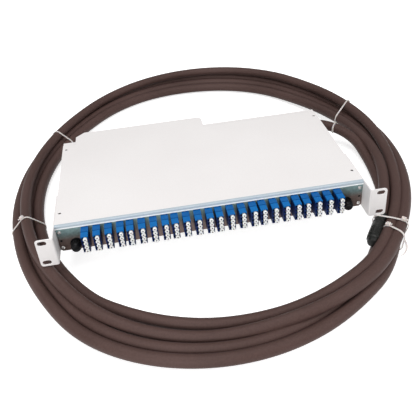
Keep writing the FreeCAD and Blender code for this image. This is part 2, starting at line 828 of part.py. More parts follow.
# The coil stands for all the turns; a notch makes room for the end fitting
def build_coil():
    top = coil_top()
    band = value("coil_band")
    height = value("coil_height")
    down = FreeCAD.Vector(0, 0, -height)
    disc, core = [Part.Face(oval_wire(side * band / 2, top)).extrude(down) for side in (1, -1)]
    coil = disc.cut(core)
    length = value(f"{FITTING_LENGTH} + 1.2")
    depth = value(f"fitting_drop + {FITTING_SIZE} / 2 + 0.3")
    inner = band / 2 + 4
    outer = value(f"fitting_offset + {FITTING_SIZE} / 2 + 0.5")
    notch = Part.makeBox(inner + outer, length, depth + 1)
    notch.translate(FreeCAD.Vector(-inner, -length / 2, -depth))
    notch.Placement = oval_place(FITTING_ANGLE, 0, top).multiply(notch.Placement)
    solid_node("cable_coil", coil.cut(notch))
    ties = [build_tie(angle, top, band, height) for angle in TIE_ANGLES]
    solid_node("cable_ties", Part.makeCompound(ties))


def build_tie(angle, top, band, height):
    gap = 0.3
    wide = value("tie_width")
    thick = value("tie_sheet")
    inner = Part.makeBox(band + 2 * gap, wide, height + 2 * gap)
    inner.translate(FreeCAD.Vector(-band / 2 - gap, -wide / 2, -height - gap))
    spread = 2 * (gap + thick)
    outer = Part.makeBox(band + spread, wide, height + spread)
    outer.translate(FreeCAD.Vector(-(band + spread) / 2, -wide / 2, -height - spread / 2))
    head = Part.makeBox(7, wide + 2, 5)
    head.translate(FreeCAD.Vector(band / 2 - 8, -wide / 2 - 1, gap + thick - 0.2))
    tie = outer.cut(inner).fuse(head.cut(inner)).removeSplitter()
    tie.Placement = oval_place(angle, 0, top).multiply(tie.Placement)
    return tie


# Fitting on the free end of the cable: a sleeve, then a body with a stepped tip
def build_end_fitting():
    along = FreeCAD.Rotation(FreeCAD.Vector(0, 1, 0), 90)
    axis = coil_top() - value("fitting_drop")
    spot = oval_place(FITTING_ANGLE, value("fitting_offset"), axis, 90)
    end = f"-{FITTING_LENGTH} / 2"
    tip = ("end_fitting_tip", end, "fitting_tip + 1", f"{FITTING_SIZE} - 4.2")
    body = ("end_fitting_barrel", f"{end} + fitting_tip", "fitting_body", FITTING_SIZE)
    neck = f"{end} + fitting_tip + fitting_body"
    sleeve = ("end_fitting_body", neck, "fitting_sleeve", "cable_size * 1.035")
    rods = []
    for label, start, length, diameter in (tip, body, sleeve):
        piece = rod(label, "X", "0", "0", "0", diameter, length, ROUND)
        for prop in ("x", "y", "z"):
            piece.setExpression(f"Placement.Base.{prop}", None)
        shift = FreeCAD.Placement(FreeCAD.Vector(value(start), 0, 0), along)
        piece.Placement = spot.multiply(shift)
        rods.append(piece)
    node(join("end_fitting_nut", *rods[:2]))
    node(rods[2])


# Lead: straight runs and tangent arcs from the gland down beside the coil
def lead_route():
    y = value(GLAND_Y)
    z = value("gland_level")
    radius = value("lead_radius")
    first, last = 0.5, -95.0
    corners = 4
    step = (last - first) / corners
    reach = radius / math.cos(math.radians(step / 2))
    limit = oval_point(0, -value("(coil_band + cable_size) / 2 + 0.5"), 0)
    centre_x = limit.x - radius - 2.8
    centre_y = y + 5 - radius
    start = value(f"{GLAND_FACE} + 12")
    straight = start + value("lead_straight")
    route = [(start, y, z), (straight, y, z), (straight + value("lead_bow"), y + 3.5, z - 4.5)]
    for number, drop in enumerate((10.5, 16.0, 21.0, 25.0)):
        angle = math.radians(first + 90 + step * (number + 0.5))
        x = centre_x + reach * math.cos(angle)
        route.append((x, centre_y + reach * math.sin(angle), z - drop))
    heading = math.radians(last)
    x, y, _ = route[-1]
    tail = value("lead_tail")
    route.append((x + tail * math.cos(heading), y + tail * math.sin(heading), z - 27))
    return [FreeCAD.Vector(*point) for point in route]


def bent_wire(points):
    edges = []
    here = points[0]
    for before, corner, after in zip(points, points[1:], points[2:]):
        back = (before - corner).normalize()
        ahead = (after - corner).normalize()
        run = 0.45 * min((before - corner).Length, (after - corner).Length)
        half_turn = (math.pi - back.getAngle(ahead)) / 2
        print("bend radius", round(run / math.tan(half_turn), 1))
        start = corner + back * run
        end = corner + ahead * run
        inward = (back + ahead).normalize()
        radius = run / math.tan(half_turn)
        middle = corner + inward * (radius / math.cos(half_turn) - radius)
        edges.append(Part.LineSegment(here, start).toShape())
        edges.append(Part.Arc(start, middle, end).toShape())
        here = end
    edges.append(Part.LineSegment(here, points[-1]).toShape())
    return Part.Wire(edges)


# The tube has eight flats, set out across the X axis where it leaves the gland
def section_point(start, radius, turn):
    angle = math.radians(22.5 + 45 * turn)
    return start + FreeCAD.Vector(0, radius * math.cos(angle), radius * math.sin(angle))


def build_lead():
    points = lead_route()
    for point in points:
        print("lead point", [round(part, 2) for part in point])
    wire = bent_wire(points)
    radius = value("cable_size / 2")
    ring = Part.makePolygon([section_point(points[0], radius, turn) for turn in range(9)])
    tube = wire.makePipe(Part.Face(ring))
    print("lead length", round(wire.Length, 1), "volume", round(tube.Volume, 1))
    print("section times length", round(Part.Face(ring).Area * wire.Length, 1))
    solid_node("cable_lead", tube)


build_housing()
build_cover()
build_front_rail()
build_ears()
build_slide_rails()
build_tray()
build_front_plate()
build_adapters()
build_port_pieces()
build_latches()
build_fibre_tray()
build_gland()
build_coil()
build_end_fitting()
build_lead()
doc.recompute()

# Nothing is written unless every object is sound
for item in doc.Objects:
    if "Invalid" in item.State or "Error" in item.State:
        raise RuntimeError(f"{item.Label} is {item.State}")
os.makedirs("parts", exist_ok=True)
for item in nodes:
    if item.Shape.isNull() or not item.Shape.isValid():
        raise RuntimeError(f"{item.Label} has no sound shape")
    item.Shape.exportStep(f"parts/{item.Label}.step")
print("nodes", len(nodes))
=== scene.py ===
import json
import math

import bmesh
import bpy
from mathutils import Matrix, Vector


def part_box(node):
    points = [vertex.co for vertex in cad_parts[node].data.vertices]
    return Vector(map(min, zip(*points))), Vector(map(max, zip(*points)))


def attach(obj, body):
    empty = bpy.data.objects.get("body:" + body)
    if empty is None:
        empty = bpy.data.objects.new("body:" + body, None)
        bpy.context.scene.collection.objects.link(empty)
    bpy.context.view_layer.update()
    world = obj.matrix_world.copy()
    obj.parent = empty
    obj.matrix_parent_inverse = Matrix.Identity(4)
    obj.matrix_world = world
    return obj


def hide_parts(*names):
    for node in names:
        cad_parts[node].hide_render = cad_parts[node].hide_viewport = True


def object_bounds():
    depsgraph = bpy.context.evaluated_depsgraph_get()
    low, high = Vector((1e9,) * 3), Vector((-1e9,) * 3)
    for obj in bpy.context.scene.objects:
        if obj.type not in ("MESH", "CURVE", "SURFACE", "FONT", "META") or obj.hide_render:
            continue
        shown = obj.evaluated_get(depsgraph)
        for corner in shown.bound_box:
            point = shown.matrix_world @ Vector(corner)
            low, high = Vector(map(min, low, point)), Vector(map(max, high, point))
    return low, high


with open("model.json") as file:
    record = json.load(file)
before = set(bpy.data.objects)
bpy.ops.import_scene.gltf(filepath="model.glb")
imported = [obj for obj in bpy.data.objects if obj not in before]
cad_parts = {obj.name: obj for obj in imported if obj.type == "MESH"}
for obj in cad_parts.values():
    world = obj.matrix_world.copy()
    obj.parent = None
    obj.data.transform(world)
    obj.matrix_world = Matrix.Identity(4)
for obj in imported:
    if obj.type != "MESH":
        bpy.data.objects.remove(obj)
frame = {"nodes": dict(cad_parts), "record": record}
CAD_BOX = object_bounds()
NODES = frame["nodes"]
MM = 0.001

# Lengths repeated from the part's source, in millimetres
CABLE = 17.0
COIL_CENTRE = (17.7, 224.5)
COIL_HALF_WIDTH = 296.0
COIL_HALF_LENGTH = 392.8
COIL_END_RADIUS = 244.9
COIL_TURN = math.radians(-5.96)
LAYER_LEVEL = -46.1
FITTING_RUN = 28.2
FITTING_LIE = (-10.5, 14.7)
PORT_LEVELS = (-7.475, -1.225, 5.025, 11.275)
PORT_SHIFT = 0.9
EYELET_PLACES = ((-212.5, -4.3), (212.5, -4.3))

# Where the small pieces sit from front to back, the rail's section, and names that repeat
EYELET_SEAT = 27.4
CAP_SEAT = 7.5
KNOB_SEAT = 23.9
RAIL_FRONT, RAIL_REAR, RAIL_TOP = 24.4, 28.9, 22.0
BEAD_TOP = 18.0
ADAPTERS = [f"{number:02d}" for number in range(1, 25)]
SIDES = ("left", "right")
# Attribute that marks each cap's bore for its painted shade
BORE_SHADE_MARK = "bore"

# Picture: camera at the photograph's place, then each lamp's place, aim, size and watts
LENS = 49.72
CAMERA_TURN = (0.956, 0.130, -0.260)
CAMERA_PLACE = (-0.07082, -0.633155, 0.472293)
LAMPS = (
    ("key", (-0.4, -0.1, 2.4), (0, 0.2, 0), 1.5, 30),
    ("fill", (1.7, -0.7, 1.3), (0, 0.1, 0), 1.6, 15),
    ("front", (-0.9, -1.8, 0.8), (0, 0.0, 0), 1.2, 26),
)
WHITE = (1, 1, 1, 1)
SKY_LIGHT = 0.36
FLOOR_SIZE = 14
FLOOR_GAP = 0.0005
FLOOR_SEEN = (0.9, 0.9, 0.9, 1)
FLOOR_GLOW = 0.65
FLOOR_BOUNCE = (0.55, 0.55, 0.55, 1)

# Cable route: out of the gland first, then onto the coil by run, offset and level
LEAD = (
    (36.0, 286.0, -4.0),
    (88.0, 286.0, -4.0),
    (146.0, 289.5, -8.5),
    (196.0, 292.0, -14.5),
    (232.1, 292.0, -19.5),
    (266.9, 271.9, -25.0),
    (287.0, 237.0, -33.0),
)
LEAD_ONTO_COIL = ((0, -25, 9.5), (5, -20, 5.5), (11, -14, 1))

# Lie of each turn round the coil: offset from the oval and height above the floor layer
STATIONS = (3, 10, 20, 32, 45, 60, 75, 90, 120, 140, 160, 205, 270, 325, 340, 348, 356)
TURNS = (
    (
        (-21, 7), (-14.5, 1), (-8, 0), (-4, 0), (-0.5, 0), (2, 0), (6.5, 0), (9, 0), (10.5, 0),
        (7, 0), (3.5, 0), (7, 0), (-5, 0), (-6.5, 0), (4, 0), (7.5, 0), (5.5, 0),
    ),
    (
        (0, 0), (2.5, 0), (8.5, 0), (20, 0), (16.5, 0), (18.5, 0), (22.5, 0.5), (26, 1), (27.5, 0.5),
        (23.5, 0), (20, 0), (24, 0), (22, 2.5), (13.5, 0.5), (21.5, 3), (23.5, 5), (24, 7),
    ),
    (
        (22.5, 9.5), (20.5, 13), (20, 15), (18, 15.2), (9.5, 15), (2, 15), (-7, 8), (-9.5, 0), (-8, 3),
        (-2, 13), (3, 15.5), (12, 15.5), (17, 18.5), (14, 18), (16, 18.8), (14, 19), (10, 16.5),
    ),
    (
        (8, 16.5), (7, 15.8), (7, 15.4), (5.5, 15.8), (-5.5, 14.5), (-20, 4), (-28, 0), (-30.5, 0),
        (-30.5, 0), (-20, 0), (-13.5, 0), (-10, 0), (-31, 0), (-27, 1), (-20, 8), (-19, 13), (-12, 17.3),
    ),
    ((-9, 19), (-12, 17.5), (-12, 15.5), FITTING_LIE),
)
# Degrees between the cable's points, and where its run round the coil begins and ends
STEP = 15
COIL_START = 19.4
COIL_END = 4 * 360 + FITTING_RUN - 3.5


# Coil oval: four tangent arcs, met by the angle of the outward normal
def oval_arc(angle):
    rise = COIL_HALF_LENGTH - COIL_END_RADIUS
    spare = COIL_HALF_WIDTH - COIL_END_RADIUS
    side = (COIL_HALF_WIDTH**2 + rise**2 - COIL_END_RADIUS**2) / (2 * spare)
    join = math.degrees(math.atan2(rise, side - COIL_HALF_WIDTH))
    angle = (angle + 180) % 360 - 180
    if abs(angle) <= join:
        return COIL_HALF_WIDTH - side, 0.0, side
    if abs(angle) >= 180 - join:
        return side - COIL_HALF_WIDTH, 0.0, side
    return 0.0, math.copysign(rise, angle), COIL_END_RADIUS


def coil_place(run, offset, level):
    x, y, radius = oval_arc(-run)
    x += (radius + offset) * math.cos(math.radians(-run))
    y += (radius + offset) * math.sin(math.radians(-run))
    return Vector((
        COIL_CENTRE[0] + x * math.cos(COIL_TURN) - y * math.sin(COIL_TURN),
        COIL_CENTRE[1] + x * math.sin(COIL_TURN) + y * math.cos(COIL_TURN),
        LAYER_LEVEL + level,
    ))


def coil_directions(run):
    angle = math.radians(-run) + COIL_TURN
    outward = Vector((math.cos(angle), math.sin(angle), 0))
    return outward, Vector((-outward.y, outward.x, 0))


MARKS = [
    (station + 360 * turn, *place)
    for turn, places in enumerate(TURNS)
    for station, place in zip(STATIONS, places)
]


# Smooth passage between the stations, run in degrees along the cable
def lie(run):
    for k in range(len(MARKS) - 1):
        a, b = MARKS[k], MARKS[k + 1]
        if run <= b[0]:
            before = MARKS[max(k - 1, 0)]
            after = MARKS[min(k + 2, len(MARKS) - 1)]
            width = b[0] - a[0]
            t = max((run - a[0]) / width, 0)
            place = []
            for i in (1, 2):
                leave_slope = (b[i] - before[i]) / (b[0] - before[0]) * width
                reach_slope = (after[i] - a[i]) / (after[0] - a[0]) * width
                place.append(
                    (2 * t**3 - 3 * t**2 + 1) * a[i] + (t**3 - 2 * t**2 + t) * leave_slope
                    + (3 * t**2 - 2 * t**3) * b[i] + (t**3 - t**2) * reach_slope
                )
            return place[0], max(place[1], 0.0)
    return MARKS[-1][1:]


def cable_points():
    points = [Vector(point) for point in LEAD]
    points += [coil_place(*place) for place in LEAD_ONTO_COIL]
    run = COIL_START
    while run < COIL_END:
        offset, level = lie(run)
        radius = oval_arc(-run)[2] + offset
        bulge = radius * (1 / math.cos(math.radians(STEP / 2)) - 1)
        points.append(coil_place(run, offset + bulge, level))
        run += STEP
    points.append(coil_place(COIL_END, *lie(COIL_END)))
    return points


# Hand tools: the few steps that every piece below is shaped with
def mm(*lengths):
    return tuple(length * MM for length in lengths)


def put_down():
    bpy.ops.object.select_all(action="DESELECT")


def take(piece):
    put_down()
    piece.select_set(True)
    bpy.context.view_layer.objects.active = piece


def named(name):
    piece = bpy.context.object
    piece.name = name
    piece.data.name = name
    return piece


def link(name, data):
    piece = bpy.data.objects.new(name, data)
    bpy.context.scene.collection.objects.link(piece)
    return piece


def edit(piece, kind="FACE"):
    take(piece)
    bpy.ops.object.mode_set(mode="EDIT")
    bpy.ops.mesh.select_mode(type=kind)


def leave():
    bpy.ops.object.mode_set(mode="OBJECT")


def pick(piece, kind, test):
    bpy.ops.mesh.select_all(action="DESELECT")
    shape = bmesh.from_edit_mesh(piece.data)
    for item in [item for item in getattr(shape, kind) if test(item)]:
        item.select_set(True)
    shape.select_flush_mode()
    bmesh.update_edit_mesh(piece.data)


def middle(item):
    spots = [corner.co for corner in item.verts]
    return sum(spots, Vector()) / len(spots) / MM


def push(*shift):
    bpy.ops.mesh.extrude_region_move(TRANSFORM_OT_translate={"value": mm(*shift)})


def cut(place, across):
    bpy.ops.mesh.select_all(action="SELECT")
    bpy.ops.mesh.bisect(plane_co=mm(*place), plane_no=across, threshold=1e-6)


def settle(piece, place=None):
    if place:
        piece.matrix_world = place
    take(piece)
    bpy.ops.object.transform_apply(location=True, rotation=True, scale=True)
    return piece


def finish_with(piece, kind, **settings):
    take(piece)
    modifier = piece.modifiers.new(kind.lower(), kind)
    for setting, level in settings.items():
        setattr(modifier, setting, level)
    bpy.ops.object.modifier_apply(modifier=modifier.name)


def smooth(piece, degrees):
    take(piece)
    bpy.ops.object.shade_smooth_by_angle(angle=math.radians(degrees))


def break_edges(piece, width, segments=2, degrees=40):
    finish_with(
        piece, "BEVEL", width=width * MM, segments=segments, limit_method="ANGLE",
        angle_limit=math.radians(degrees),
    )
    smooth(piece, 60)
    finish_with(piece, "WEIGHTED_NORMAL", weight=80, keep_sharp=True)


def block(name, low, high):
    put_down()
    low, high = Vector(low), Vector(high)
    bpy.ops.mesh.primitive_cube_add(size=1, location=(low + high) / 2 * MM, scale=(high - low) * MM)
    return settle(named(name))


# Round body: a ring drawn out along its axis, a (distance, radius) step at a time
def turned(name, steps, sides, hollow=False):
    at, radius = steps[0]
    put_down()
    bpy.ops.mesh.primitive_circle_add(vertices=sides, radius=radius * MM, location=mm(0, 0, at))
    piece = settle(named(name))
    edit(piece, "VERT")
    bpy.ops.mesh.select_all(action="SELECT")
    for along, reach in steps[1:]:
        push(0, 0, along - at)
        grow = reach / radius
        bpy.ops.transform.resize(value=(grow, grow, 1), center_override=mm(0, 0, along))
        at, radius = along, reach
    bpy.ops.mesh.select_all(action="SELECT")
    bpy.ops.mesh.remove_doubles(threshold=1e-6)
    if not hollow:
        bpy.ops.mesh.fill_holes(sides=0)
    bpy.ops.mesh.select_all(action="SELECT")
    bpy.ops.mesh.normals_make_consistent(inside=False)
    leave()
    return piece


# Grip: side faces between two distances are sunk, every one or every second one
def grip(piece, low, high, sides, every, margin, depth):
    edit(piece)

    def on_grip(face):
        spot = middle(face)
        place = int(math.atan2(spot.y, spot.x) % math.tau / math.tau * sides)
        return low < spot.z < high and abs(face.normal.z) < 0.3 and place % every == 0

    pick(piece, "faces", on_grip)
    bpy.ops.mesh.inset(use_individual=True, thickness=margin * MM, depth=-depth * MM)
    leave()


def facing(point, direction):
    z = Vector(direction).normalized()
    x = Vector((0, 0, 1)).cross(z)
    x = x.normalized() if x.length > 1e-6 else Vector((1, 0, 0))
    return placed(point, x, z.cross(x), z)


def placed(point, x, y, z):
    place = Matrix((x, y, z)).transposed().to_4x4()
    place.translation = Vector(point) * MM
    return place


def copy_of(piece, name, *shift):
    twin = link(name, piece.data.copy())
    twin.data.name = name
    twin.location = mm(*shift)
    return settle(twin)


def joined(name, pieces):
    put_down()
    for piece in pieces:
        piece.select_set(True)
    bpy.context.view_layer.objects.active = pieces[0]
    bpy.ops.object.join()
    return named(name)


def discard(piece):
    bpy.data.objects.remove(piece)


def dress(piece, body, slot, finish, *nodes):
    piece.data.materials.clear()
    piece.data.materials.append(FINISH[finish])
    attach(piece, body)
    if nodes:
        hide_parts(*nodes)
    return piece


# A node's box and its centre, in millimetres
def corners_of(node):
    return [Vector(corner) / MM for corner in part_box(node)]


def centre_of(node):
    low, high = corners_of(node)
    return [(low[i] + high[i]) / 2 for i in range(3)]


# Copy of a node's own sheet with its edges broken, as a press brake leaves them
def edged_copy(node, name, width, segments=2):
    piece = link(name, NODES[node].data.copy())
    piece.data.name = name
    edit(piece, "VERT")
    bpy.ops.mesh.select_all(action="SELECT")
    bpy.ops.mesh.remove_doubles(threshold=2e-6)
    bpy.ops.mesh.dissolve_limited(angle_limit=math.radians(1))
    leave()
    break_edges(piece, width, segments)
    return piece


# Middle of each loose body in a node, with its half size, in millimetres
def bodies_of(node):
    shape = bmesh.new()
    shape.from_mesh(NODES[node].data)
    bmesh.ops.remove_doubles(shape, verts=shape.verts, dist=2e-6)
    left = set(shape.verts)
    found = []
    while left:
        stack = [left.pop()]
        body = list(stack)
        while stack:
            for edge in stack.pop().link_edges:
                for spot in edge.verts:
                    if spot in left:
                        left.remove(spot)
                        stack.append(spot)
                        body.append(spot)
        corners = [spot.co / MM for spot in body]
        low = Vector([min(corner[i] for corner in corners) for i in range(3)])
        high = Vector([max(corner[i] for corner in corners) for i in range(3)])
        found.append(((low + high) / 2, (high - low) / 2))
    shape.free()
    return sorted(found, key=lambda body: tuple(body[0]))


# Shared shader group: two scales of noise as a tint, a speck and relief
def grain_group():
    tree = bpy.data.node_groups.new("surface_grain", "ShaderNodeTree")
    face = tree.interface
    face.new_socket("Vector", in_out="INPUT", socket_type="NodeSocketVector")
    for name in ("Fine", "Broad", "Relief", "Height"):
        face.new_socket(name, in_out="INPUT", socket_type="NodeSocketFloat")
    for name in ("Tint", "Speck"):
        face.new_socket(name, in_out="OUTPUT", socket_type="NodeSocketFloat")
    face.new_socket("Normal", in_out="OUTPUT", socket_type="NodeSocketVector")
    start = tree.nodes.new("NodeGroupInput")
    end = tree.nodes.new("NodeGroupOutput")
    fine = tree.nodes.new("ShaderNodeTexNoise")
    fine.inputs["Detail"].default_value = 3
    broad = tree.nodes.new("ShaderNodeTexNoise")
    broad.inputs["Detail"].default_value = 2
    mix = tree.nodes.new("ShaderNodeMix")
    mix.inputs["Factor"].default_value = 0.5
    bump = tree.nodes.new("ShaderNodeBump")
    wire = tree.links.new
    wire(start.outputs["Vector"], fine.inputs["Vector"])
    wire(start.outputs["Vector"], broad.inputs["Vector"])
    wire(start.outputs["Fine"], fine.inputs["Scale"])
    wire(start.outputs["Broad"], broad.inputs["Scale"])
    wire(fine.outputs["Fac"], mix.inputs["A"])
    wire(broad.outputs["Fac"], mix.inputs["B"])
    wire(fine.outputs["Fac"], bump.inputs["Height"])
    wire(start.outputs["Relief"], bump.inputs["Strength"])
    wire(start.outputs["Height"], bump.inputs["Distance"])
    wire(mix.outputs["Result"], end.inputs["Tint"])
    wire(fine.outputs["Fac"], end.inputs["Speck"])
    wire(bump.outputs["Normal"], end.inputs["Normal"])
    return tree


GRAIN = grain_group()


def rgb(red, green, blue):
    values = []
    for level in (red, green, blue):
        level /= 255
        values.append(level / 12.92 if level <= 0.04045 else ((level + 0.055) / 1.055) ** 2.4)
    return (*values, 1)


# One finish: a Principled shader with its nodes wired up in a line
class Finish:
    def __init__(self, name, metallic=0.0, **sockets):
        self.material = bpy.data.materials.new(name)
        self.material.use_nodes = True
        self.tree = self.material.node_tree
        self.shader = self.tree.nodes["Principled BSDF"]
        self.shader.inputs["Metallic"].default_value = metallic
        for socket, level in sockets.items():
            self.shader.inputs[socket.replace("_", " ")].default_value = level
        self.place = self.node("ShaderNodeTexCoord").outputs["Object"]

    def node(self, kind, **inputs):
        made = self.tree.nodes.new(kind)
        for socket, level in inputs.items():
            made.inputs[socket.replace("_", " ")].default_value = level
        return made

    def wire(self, start, end):
        self.tree.links.new(start, end)

    def grain(self, fine, broad, relief, height):
        group = self.node("ShaderNodeGroup")
        group.node_tree = GRAIN
        for socket, level in (("Fine", fine), ("Broad", broad), ("Relief", relief), ("Height", height)):
            group.inputs[socket].default_value = level
        self.wire(self.place, group.inputs["Vector"])
        self.wire(group.outputs["Normal"], self.shader.inputs["Normal"])
        return group

    def along(self, axis, low, high):
        split = self.node("ShaderNodeSeparateXYZ")
        self.wire(self.place, split.inputs["Vector"])
        return self.span(split.outputs[axis], low * MM, high * MM, 0.0, 1.0)

    def ramp(self, source, *stops):
        ramp = self.node("ShaderNodeValToRGB")
        spots = ramp.color_ramp.elements
        while len(spots) < len(stops):
            spots.new(0.5)
        for spot, (at, colour) in zip(spots, stops):
            spot.position = at
            spot.color = colour
        self.wire(source, ramp.inputs["Fac"])
        return ramp.outputs["Color"]

    def span(self, source, low, high, to_low, to_high):
        node = self.node("ShaderNodeMapRange", To_Min=to_low, To_Max=to_high)
        node.inputs["From Min"].default_value = low
        node.inputs["From Max"].default_value = high
        self.wire(source, node.inputs["Value"])
        return node.outputs["Result"]

    def blend(self, factor, first, second, kind="MIX"):
        mix = self.node("ShaderNodeMix")
        mix.data_type = "RGBA"
        mix.blend_type = kind
        if isinstance(factor, float):
            mix.inputs["Factor"].default_value = factor
        else:
            self.wire(factor, mix.inputs["Factor"])
        self.wire(first, mix.inputs["A"])
        self.wire(second, mix.inputs["B"])
        return mix.outputs["Result"]

    def colour(self, output):
        self.wire(output, self.shader.inputs["Base Color"])

    def rough(self, grain, low, high):
        self.wire(self.span(grain.outputs["Speck"], 0.3, 0.7, low, high), self.shader.inputs["Roughness"])


def speckled(name, dark, light, scales, relief, rough, metallic=0.0, **sockets):
    finish = Finish(name, metallic, **sockets)
    grain = finish.grain(*scales, *relief)
    finish.colour(finish.ramp(grain.outputs["Tint"], (0.3, rgb(*dark)), (0.7, rgb(*light))))
    finish.rough(grain, *rough)
    return finish.material


# Moulded blue: clear blue on top, greyer behind a dark seam, navy down the flanks. The navy is painted
# shade on the same blue, the dark seam is painted shade in its groove, and the greyer rear leaves the
# front half brighter as a painted sheen
def adapter_plastic():
    finish = Finish("adapter_plastic", Specular_IOR_Level=0.22)
    grain = finish.grain(600, 30, 0.06, 0.0002)
    top = finish.ramp(grain.outputs["Tint"], (0.3, rgb(0, 90, 160)), (0.7, rgb(2, 108, 178)))
    # Painted shade: a darker navy copy of the blue for the flanks
    painted_shade_flank = finish.ramp(grain.outputs["Tint"], (0.3, rgb(1, 24, 70)), (0.7, rgb(4, 38, 98)))
    # Painted shade along the seam groove, and the rear half dimmed so the front half keeps a painted
    # sheen
    seam_shade_and_sheen = finish.ramp(
        finish.along("Y", 12.0, 14.0),
        (0.2, rgb(255, 255, 255)), (0.3, rgb(120, 130, 150)),
        (0.5, rgb(120, 130, 150)), (0.6, rgb(222, 228, 234)),
    )
    # Lit top above 14.9 mm, painted shade on the flank below 11 mm
    body = finish.blend(finish.along("Z", 11.0, 14.9), painted_shade_flank, top)
    finish.colour(finish.blend(1.0, body, seam_shade_and_sheen, "MULTIPLY"))
    finish.rough(grain, 0.4, 0.55)
    return finish.material


# Dust cap plastic: white, with painted shade dark down the bore, which the piece marks with its own
# attribute
def cap_plastic():
    finish = Finish("cap_plastic", Subsurface_Weight=0.1, Specular_IOR_Level=0.35)
    grain = finish.grain(500, 60, 0.05, 0.0002)
    rim = finish.ramp(grain.outputs["Tint"], (0.3, rgb(238, 235, 232)), (0.7, rgb(250, 248, 246)))
    # Painted shade: dark grey inside the bore, where shade falls
    hole = finish.ramp(grain.outputs["Tint"], (0.3, rgb(72, 70, 72)), (0.7, rgb(96, 92, 92)))
    bore_shade_mask = finish.node("ShaderNodeAttribute")
    bore_shade_mask.attribute_name = BORE_SHADE_MARK
    finish.colour(finish.blend(bore_shade_mask.outputs["Fac"], rim, hole))
    finish.rough(grain, 0.35, 0.5)
    return finish.material


# Zinc plate with painted reflection: brown-grey low on the sheet where it mirrors the dark cable,
# blue-green towards its top edge where it mirrors the light
def zinc_painted_reflection():
    finish = Finish("zinc_painted_reflection", 0.55)
    grain = finish.grain(320, 14, 0.12, 0.0003)
    # Painted reflection: the colour runs by height, the dark cable mirrored low and bright light mirrored
    # high
    painted_reflection_tone = finish.ramp(
        finish.along("Z", -22, 16),
        (0.0, rgb(114, 94, 87)), (0.5, rgb(124, 108, 102)),
        (0.72, rgb(126, 148, 148)), (1.0, rgb(160, 194, 196)),
    )
    cloud = finish.ramp(grain.outputs["Tint"], (0.32, rgb(196, 196, 196)), (0.68, rgb(255, 255, 255)))
    finish.colour(finish.blend(1.0, painted_reflection_tone, cloud, "MULTIPLY"))
    finish.rough(grain, 0.3, 0.48)
    return finish.material


# Drawn rail: pale blue-grey face, a painted bluish reflection on the bright metal, over a lower bead
# painted white as a highlight
def rail_painted_reflection():
    finish = Finish("rail_painted_reflection", Specular_IOR_Level=0.2)
    grain = finish.grain(500, 20, 0.06, 0.0002)
    # Painted reflection: the face's pale blue-grey
    face = finish.ramp(grain.outputs["Tint"], (0.3, rgb(172, 185, 194)), (0.7, rgb(187, 198, 206)))
    # Painted highlight: the lower bead near white
    painted_bead_highlight = finish.ramp(grain.outputs["Tint"], (0.3, rgb(236, 240, 241)), (0.7, rgb(246, 248, 249)))
    finish.colour(finish.blend(finish.along("Z", BEAD_TOP - 0.1, BEAD_TOP + 0.2), painted_bead_highlight, face))
    finish.rough(grain, 0.45, 0.6)
    return finish.material


def make_finishes():
    return {
        "white_coat": speckled(
            "white_powder_coat", (229, 225, 224), (238, 235, 234), (900, 6), (0.12, 0.0004), (0.42, 0.55)
        ),
        "rail_grey": speckled(
            "slide_rail_zinc", (150, 158, 160), (186, 192, 194), (260, 18), (0.1, 0.0003), (0.3, 0.5), 0.7
        ),
        "steel": speckled(
            "bright_steel", (186, 184, 182), (226, 224, 222), (700, 40), (0.1, 0.0002), (0.2, 0.36), 0.8
        ),
        "dark_screw": speckled(
            "dark_screw", (64, 62, 62), (98, 95, 94), (700, 40), (0.1, 0.0002), (0.3, 0.5), 0.6
        ),
        "plug_blue": speckled(
            "plug_plastic", (20, 84, 150), (34, 108, 184), (500, 50), (0.08, 0.0002), (0.3, 0.45)
        ),
        "black_plastic": speckled(
            "black_plastic", (8, 8, 9), (20, 20, 22), (650, 40), (0.15, 0.0003), (0.34, 0.5),
            Specular_IOR_Level=0.15,
        ),
        "fitting_black": speckled(
            "fitting_plastic", (10, 11, 10), (22, 23, 20), (420, 30), (0.25, 0.0004), (0.34, 0.5),
            Specular_IOR_Level=0.35,
        ),
        "spool_grey": speckled(
            "spool_plastic", (200, 202, 204), (220, 222, 223), (500, 30), (0.08, 0.0002), (0.4, 0.55)
        ),
        "fibre_yellow": speckled(
            "fibre_jacket", (214, 172, 30), (238, 200, 58), (420, 30), (0.08, 0.0002), (0.4, 0.55)
        ),
        "tie_white": speckled(
            "tie_nylon", (208, 195, 190), (228, 217, 212), (500, 40), (0.06, 0.0002), (0.35, 0.5),
            Subsurface_Weight=0.12,
        ),
        "jacket_brown": speckled(
            "cable_jacket", (71, 53, 49), (87, 67, 63), (420, 9), (0.12, 0.0003), (0.5, 0.62),
            Specular_IOR_Level=0.18,
        ),
        "cap_white": cap_plastic(),
        "adapter_blue": adapter_plastic(),
        "zinc": zinc_painted_reflection(),
        "tray_zinc": speckled(
            "tray_zinc", (150, 157, 156), (182, 188, 187), (320, 14), (0.12, 0.0003), (0.3, 0.48), 0.55
        ),
        "rail_lip": rail_painted_reflection(),
    }


def build_camera():
    data = bpy.data.cameras.new("camera")
    data.lens = LENS
    data.sensor_width = 36
    data.clip_end = 50
    camera = link("camera", data)
    camera.rotation_mode = "YXZ"
    camera.rotation_euler = CAMERA_TURN
    camera.location = CAMERA_PLACE
    bpy.context.scene.camera = camera


# Cable: the lead from the gland and every turn of the coil in one spline
def build_cable():
    curve = bpy.data.curves.new("trunk_cable", "CURVE")
    curve.dimensions = "3D"
    curve.bevel_depth = CABLE / 2 * MM
    curve.bevel_resolution = 8
    curve.use_fill_caps = True
    curve.resolution_u = 8
    points = cable_points()
    spline = curve.splines.new("NURBS")
    spline.points.add(len(points) - 1)
    for place, point in zip(spline.points, points):
        place.co = (*(point * MM), 1.0)
    spline.order_u = 3
    spline.use_endpoint_u = True
    piece = link("trunk_cable", curve)
    return dress(piece, "chassis", "jacket_brown", "jacket_brown", "cable_lead", "cable_coil")


